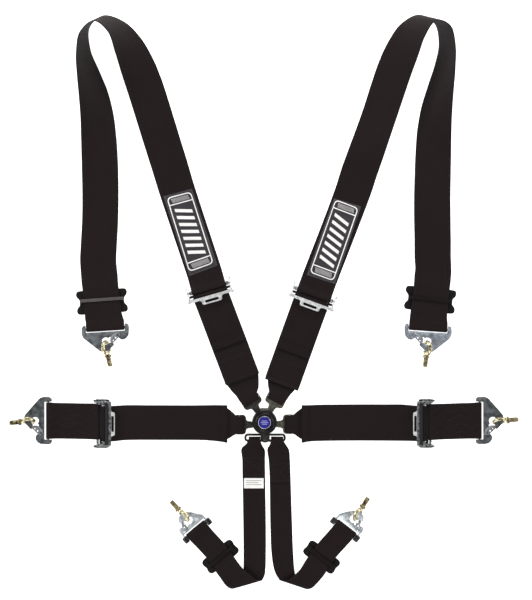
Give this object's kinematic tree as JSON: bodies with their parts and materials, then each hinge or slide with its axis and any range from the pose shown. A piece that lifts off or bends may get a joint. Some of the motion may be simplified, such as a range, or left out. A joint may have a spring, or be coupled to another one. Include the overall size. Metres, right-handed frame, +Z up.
{
  "type": "racing harness",
  "caption": "Webbing seat restraint with a round cam-lock buckle, tilt-lock adjusters, three-bar slides and snap hooks on eye bolts, laid out flat.",
  "frame": {"origin": "centre of the buckle's back plate, on the surface the harness lies on", "axes": "+Y from the buckle towards the shoulder loops, +X towards the right-hand lap strap, +Z up off the surface"},
  "size_m": [1.0674, 1.201, 0.0958],
  "materials": {
    "webbing": "tight woven polyester webbing, dull",
    "black_steel": "black coated steel",
    "bright_steel": "bright plated steel",
    "gunmetal": "dark plated steel",
    "zinc_dark": "grey zinc plate",
    "zinc_light": "light zinc plate",
    "yellow_zinc": "yellow zinc plate",
    "black_plastic": "satin black",
    "badge_blue": "domed blue-violet resin",
    "badge_silver": "bright ring",
    "patch_cloth": "woven patch",
    "label_white": "white sewn label"
  },
  "bodies": {
    "buckle": {"buckle_back_plate": "gunmetal", "buckle_body": "black_plastic", "buckle_spindle": "gunmetal", "tongue_lap_left": "gunmetal", "tongue_shoulder_left": "gunmetal", "tongue_shoulder_right": "gunmetal", "tongue_lap_right": "gunmetal", "tongue_crotch": "gunmetal"},
    "knob": {"release_knob": "black_plastic", "badge_bezel": "badge_silver", "badge_disc": "badge_blue"},
    "lock": {"lock_plate": "gunmetal"},
    "web_lower_shoulder_left": {"shoulder_web_lower_left": "webbing"},
    "adjuster_shoulder_left": {"adjuster_frame_shoulder_left": "bright_steel", "shoulder_tail_left": "webbing"},
    "roller_shoulder_left": {"adjuster_roller_shoulder_left": "bright_steel"},
    "web_upper_shoulder_left": {"shoulder_web_upper_left": "webbing", "patch_left": "patch_cloth"},
    "slide_shoulder_left": {"slide_shoulder_left": "black_steel"},
    "hook_shoulder_left": {"hook_shoulder_left": "zinc_dark"},
    "latch_shoulder_left": {"latch_shoulder_left": "zinc_dark"},
    "eye_bolt_shoulder_left": {"eye_bolt_shoulder_left": "yellow_zinc"},
    "web_lower_shoulder_right": {"shoulder_web_lower_right": "webbing"},
    "adjuster_shoulder_right": {"adjuster_frame_shoulder_right": "bright_steel", "shoulder_tail_right": "webbing"},
    "roller_shoulder_right": {"adjuster_roller_shoulder_right": "bright_steel"},
    "web_upper_shoulder_right": {"shoulder_web_upper_right": "webbing", "patch_right": "patch_cloth"},
    "slide_shoulder_right": {"slide_shoulder_right": "black_steel"},
    "hook_shoulder_right": {"hook_shoulder_right": "zinc_dark"},
    "latch_shoulder_right": {"latch_shoulder_right": "zinc_dark"},
    "eye_bolt_shoulder_right": {"eye_bolt_shoulder_right": "yellow_zinc"},
    "web_main_lap_left": {"lap_web_main_left": "webbing", "adjuster_roller_lap_left": "bright_steel"},
    "adjuster_lap_left": {"adjuster_frame_lap_left": "bright_steel"},
    "web_anchor_lap_left": {"lap_web_anchor_left": "webbing"},
    "hook_lap_left": {"hook_lap_left": "zinc_dark"},
    "latch_lap_left": {"latch_lap_left": "zinc_dark"},
    "eye_bolt_lap_left": {"eye_bolt_lap_left": "yellow_zinc"},
    "web_main_lap_right": {"lap_web_main_right": "webbing", "adjuster_roller_lap_right": "bright_steel"},
    "adjuster_lap_right": {"adjuster_frame_lap_right": "bright_steel"},
    "web_anchor_lap_right": {"lap_web_anchor_right": "webbing"},
    "hook_lap_right": {"hook_lap_right": "zinc_dark"},
    "latch_lap_right": {"latch_lap_right": "zinc_dark"},
    "eye_bolt_lap_right": {"eye_bolt_lap_right": "yellow_zinc"},
    "web_crotch_left": {"crotch_web_left": "webbing", "label_crotch_left": "label_white"},
    "slide_crotch_left": {"slide_crotch_left": "black_steel"},
    "hook_crotch_left": {"hook_crotch_left": "zinc_light", "bar_sleeve_crotch_left": "black_plastic"},
    "latch_crotch_left": {"latch_crotch_left": "zinc_light"},
    "eye_bolt_crotch_left": {"eye_bolt_crotch_left": "yellow_zinc"},
    "web_crotch_right": {"crotch_web_right": "webbing"},
    "slide_crotch_right": {"slide_crotch_right": "black_steel"},
    "hook_crotch_right": {"hook_crotch_right": "zinc_light", "bar_sleeve_crotch_right": "black_plastic"},
    "latch_crotch_right": {"latch_crotch_right": "zinc_light"},
    "eye_bolt_crotch_right": {"eye_bolt_crotch_right": "yellow_zinc"}
  },
  "joints": [
    {"name": "knob_turn", "type": "hinge", "parent": "buckle", "child": "knob", "pos_m": [0, 0, 0.0164], "axis": [0, 0, 1], "range_deg": [0, 60], "stiffness_Nm_per_rad": 0.15},
    {"name": "lock_plate_lift", "type": "slide", "parent": "buckle", "child": "lock", "axis": [0, 0, 1], "range_m": [0, 0.0033]},
    {"name": "strap_lift_shoulder_left", "type": "hinge", "parent": "buckle", "child": "web_lower_shoulder_left", "pos_m": [-0.03072, 0.0486, 0.00725], "axis": [0.8453, 0.5344, 0], "range_deg": [0, 30]},
    {"name": "adjuster_tilt_shoulder_left", "type": "hinge", "parent": "web_lower_shoulder_left", "child": "adjuster_shoulder_left", "pos_m": [-0.11244, 0.26459, 0.0046], "axis": [-0.9613, -0.2756, 0], "range_deg": [0, 16]},
    {"name": "roller_turn_shoulder_left", "type": "hinge", "parent": "adjuster_shoulder_left", "child": "roller_shoulder_left", "pos_m": [-0.11685, 0.27997, 0.0064], "axis": [-0.9613, -0.2756, 0], "range_deg": [-16, 0]},
    {"name": "strap_bend_shoulder_left", "type": "hinge", "parent": "roller_shoulder_left", "child": "web_upper_shoulder_left", "pos_m": [-0.11685, 0.27997, 0.0064], "axis": [0.9613, 0.2756, 0], "range_deg": [0, 30]},
    {"name": "slide_shift_shoulder_left", "type": "slide", "parent": "web_upper_shoulder_left", "child": "slide_shoulder_left", "axis": [0.1045, -0.9945, 0], "range_m": [-0.008, 0.008]},
    {"name": "hook_lift_shoulder_left", "type": "hinge", "parent": "web_upper_shoulder_left", "child": "hook_shoulder_left", "pos_m": [-0.33368, 0.19499, 0.0053], "axis": [-0.998, -0.0628, 0], "range_deg": [0, 55]},
    {"name": "latch_open_shoulder_left", "type": "hinge", "parent": "hook_shoulder_left", "child": "latch_shoulder_left", "pos_m": [-0.30739, 0.18332, 0.01068], "axis": [0.0152, -0.2414, -0.9703], "range_deg": [0, 12], "stiffness_Nm_per_rad": 0.05, "springref_deg": -5.73},
    {"name": "eye_bolt_turn_shoulder_left", "type": "hinge", "parent": "hook_shoulder_left", "child": "eye_bolt_shoulder_left", "pos_m": [-0.33118, 0.15529, 0.01522], "axis": [-0.9084, -0.0794, -0.4106], "range_deg": [-20, 20]},
    {"name": "strap_lift_shoulder_right", "type": "hinge", "parent": "buckle", "child": "web_lower_shoulder_right", "pos_m": [0.02593, 0.05132, 0.00725], "axis": [0.8926, -0.4509, 0], "range_deg": [0, 30]},
    {"name": "adjuster_tilt_shoulder_right", "type": "hinge", "parent": "web_lower_shoulder_right", "child": "adjuster_shoulder_right", "pos_m": [0.09808, 0.2516, 0.0046], "axis": [-0.9397, 0.342, 0], "range_deg": [0, 16]},
    {"name": "roller_turn_shoulder_right", "type": "hinge", "parent": "adjuster_shoulder_right", "child": "roller_shoulder_right", "pos_m": [0.10355, 0.26664, 0.0064], "axis": [-0.9397, 0.342, 0], "range_deg": [-16, 0]},
    {"name": "strap_bend_shoulder_right", "type": "hinge", "parent": "roller_shoulder_right", "child": "web_upper_shoulder_right", "pos_m": [0.10355, 0.26664, 0.0064], "axis": [0.9397, -0.342, 0], "range_deg": [0, 30]},
    {"name": "slide_shift_shoulder_right", "type": "slide", "parent": "web_upper_shoulder_right", "child": "slide_shoulder_right", "axis": [-0.1045, -0.9945, 0], "range_m": [-0.008, 0.008]},
    {"name": "hook_lift_shoulder_right", "type": "hinge", "parent": "web_upper_shoulder_right", "child": "hook_shoulder_right", "pos_m": [0.34281, 0.19449, 0.0053], "axis": [-0.9977, 0.068, 0], "range_deg": [0, 55]},
    {"name": "latch_open_shoulder_right", "type": "hinge", "parent": "hook_shoulder_right", "child": "latch_shoulder_right", "pos_m": [0.31646, 0.18296, 0.01068], "axis": [0.0165, 0.2414, 0.9703], "range_deg": [0, 12], "stiffness_Nm_per_rad": 0.05, "springref_deg": -5.73},
    {"name": "eye_bolt_turn_shoulder_right", "type": "hinge", "parent": "hook_shoulder_right", "child": "eye_bolt_shoulder_right", "pos_m": [0.3401, 0.1548, 0.01522], "axis": [-0.9117, -0.0159, 0.4106], "range_deg": [-20, 20]},
    {"name": "strap_lift_lap_left", "type": "hinge", "parent": "buckle", "child": "web_main_lap_left", "pos_m": [-0.0575, -0.006, 0.00725], "axis": [0, 1, 0], "range_deg": [0, 75]},
    {"name": "adjuster_tilt_lap_left", "type": "hinge", "parent": "web_main_lap_left", "child": "adjuster_lap_left", "pos_m": [-0.335, -0.0042, 0.006], "axis": [0, -1, 0], "range_deg": [0, 12]},
    {"name": "anchor_bend_lap_left", "type": "hinge", "parent": "adjuster_lap_left", "child": "web_anchor_lap_left", "pos_m": [-0.35, -0.0042, 0.005], "axis": [0, -1, 0], "range_deg": [-12, 0]},
    {"name": "hook_lift_lap_left", "type": "hinge", "parent": "web_anchor_lap_left", "child": "hook_lap_left", "pos_m": [-0.4545, 0.0022, 0.0053], "axis": [0, 1, 0], "range_deg": [0, 55]},
    {"name": "latch_open_lap_left", "type": "hinge", "parent": "hook_lap_left", "child": "latch_lap_left", "pos_m": [-0.46779, -0.0233, 0.01068], "axis": [-0.2419, 0, -0.9703], "range_deg": [0, 12], "stiffness_Nm_per_rad": 0.05, "springref_deg": -5.73},
    {"name": "eye_bolt_turn_lap_left", "type": "hinge", "parent": "hook_lap_left", "child": "eye_bolt_lap_left", "pos_m": [-0.49428, 0.0022, 0.01522], "axis": [-0.0111, 0.9118, -0.4106], "range_deg": [-20, 20]},
    {"name": "strap_lift_lap_right", "type": "hinge", "parent": "buckle", "child": "web_main_lap_right", "pos_m": [0.0575, -0.005, 0.00725], "axis": [0, -1, 0], "range_deg": [0, 75]},
    {"name": "adjuster_tilt_lap_right", "type": "hinge", "parent": "web_main_lap_right", "child": "adjuster_lap_right", "pos_m": [0.333, -0.0038, 0.006], "axis": [0, 1, 0], "range_deg": [0, 12]},
    {"name": "anchor_bend_lap_right", "type": "hinge", "parent": "adjuster_lap_right", "child": "web_anchor_lap_right", "pos_m": [0.348, -0.0038, 0.005], "axis": [0, 1, 0], "range_deg": [-12, 0]},
    {"name": "hook_lift_lap_right", "type": "hinge", "parent": "web_anchor_lap_right", "child": "hook_lap_right", "pos_m": [0.4518, 0.0025, 0.0053], "axis": [0, -1, 0], "range_deg": [0, 55]},
    {"name": "latch_open_lap_right", "type": "hinge", "parent": "hook_lap_right", "child": "latch_lap_right", "pos_m": [0.46509, -0.023, 0.01068], "axis": [-0.2419, 0, 0.9703], "range_deg": [0, 12], "stiffness_Nm_per_rad": 0.05, "springref_deg": -5.73},
    {"name": "eye_bolt_turn_lap_right", "type": "hinge", "parent": "hook_lap_right", "child": "eye_bolt_lap_right", "pos_m": [0.49158, 0.0025, 0.01522], "axis": [0.1537, -0.8988, 0.4106], "range_deg": [-20, 20]},
    {"name": "strap_lift_crotch_left", "type": "hinge", "parent": "buckle", "child": "web_crotch_left", "pos_m": [0.0012, -0.0394, 0.00725], "axis": [-1, 0, 0], "range_deg": [0, 75]},
    {"name": "slide_shift_crotch_left", "type": "slide", "parent": "web_crotch_left", "child": "slide_crotch_left", "axis": [-0.6361, 0.7716, 0], "range_m": [-0.004, 0.012]},
    {"name": "hook_lift_crotch_left", "type": "hinge", "parent": "web_crotch_left", "child": "hook_crotch_left", "pos_m": [-0.14245, -0.2262, 0.0066], "axis": [0.7672, 0.6414, 0], "range_deg": [0, 55]},
    {"name": "latch_open_crotch_left", "type": "hinge", "parent": "hook_crotch_left", "child": "latch_crotch_left", "pos_m": [-0.16681, -0.22903, 0.01156], "axis": [-0.1356, 0.1621, -0.9774], "range_deg": [0, 12], "stiffness_Nm_per_rad": 0.05, "springref_deg": -5.73},
    {"name": "eye_bolt_turn_crotch_left", "type": "hinge", "parent": "hook_crotch_left", "child": "eye_bolt_crotch_left", "pos_m": [-0.16816, -0.19546, 0.01526], "axis": [0.7215, 0.5576, -0.4106], "range_deg": [-20, 20]},
    {"name": "strap_lift_crotch_right", "type": "hinge", "parent": "buckle", "child": "web_crotch_right", "pos_m": [0.0012, -0.0394, 0.00725], "axis": [-1, 0, 0], "range_deg": [0, 75]},
    {"name": "slide_shift_crotch_right", "type": "slide", "parent": "web_crotch_right", "child": "slide_crotch_right", "axis": [0.6157, 0.788, 0], "range_m": [-0.004, 0.012]},
    {"name": "hook_lift_crotch_right", "type": "hinge", "parent": "web_crotch_right", "child": "hook_crotch_right", "pos_m": [0.17041, -0.22393, 0.0066], "axis": [0.788, -0.6157, 0], "range_deg": [0, 55]},
    {"name": "latch_open_crotch_right", "type": "hinge", "parent": "hook_crotch_right", "child": "latch_crotch_right", "pos_m": [0.19484, -0.22595, 0.01156], "axis": [-0.1301, -0.1665, 0.9774], "range_deg": [0, 12], "stiffness_Nm_per_rad": 0.05, "springref_deg": -5.73},
    {"name": "eye_bolt_turn_crotch_right", "type": "hinge", "parent": "hook_crotch_right", "child": "eye_bolt_crotch_right", "pos_m": [0.19508, -0.19235, 0.01526], "axis": [0.8059, -0.4266, 0.4106], "range_deg": [-20, 20]}
  ],
  "couplings": [
    {"joint": "lock_plate_lift", "follows": "knob_turn", "m_per_rad": 0.003056},
    {"joint": "roller_turn_shoulder_left", "follows": "adjuster_tilt_shoulder_left", "ratio": -1},
    {"joint": "roller_turn_shoulder_right", "follows": "adjuster_tilt_shoulder_right", "ratio": -1},
    {"joint": "anchor_bend_lap_left", "follows": "adjuster_tilt_lap_left", "ratio": -1},
    {"joint": "anchor_bend_lap_right", "follows": "adjuster_tilt_lap_right", "ratio": -1}
  ]
}
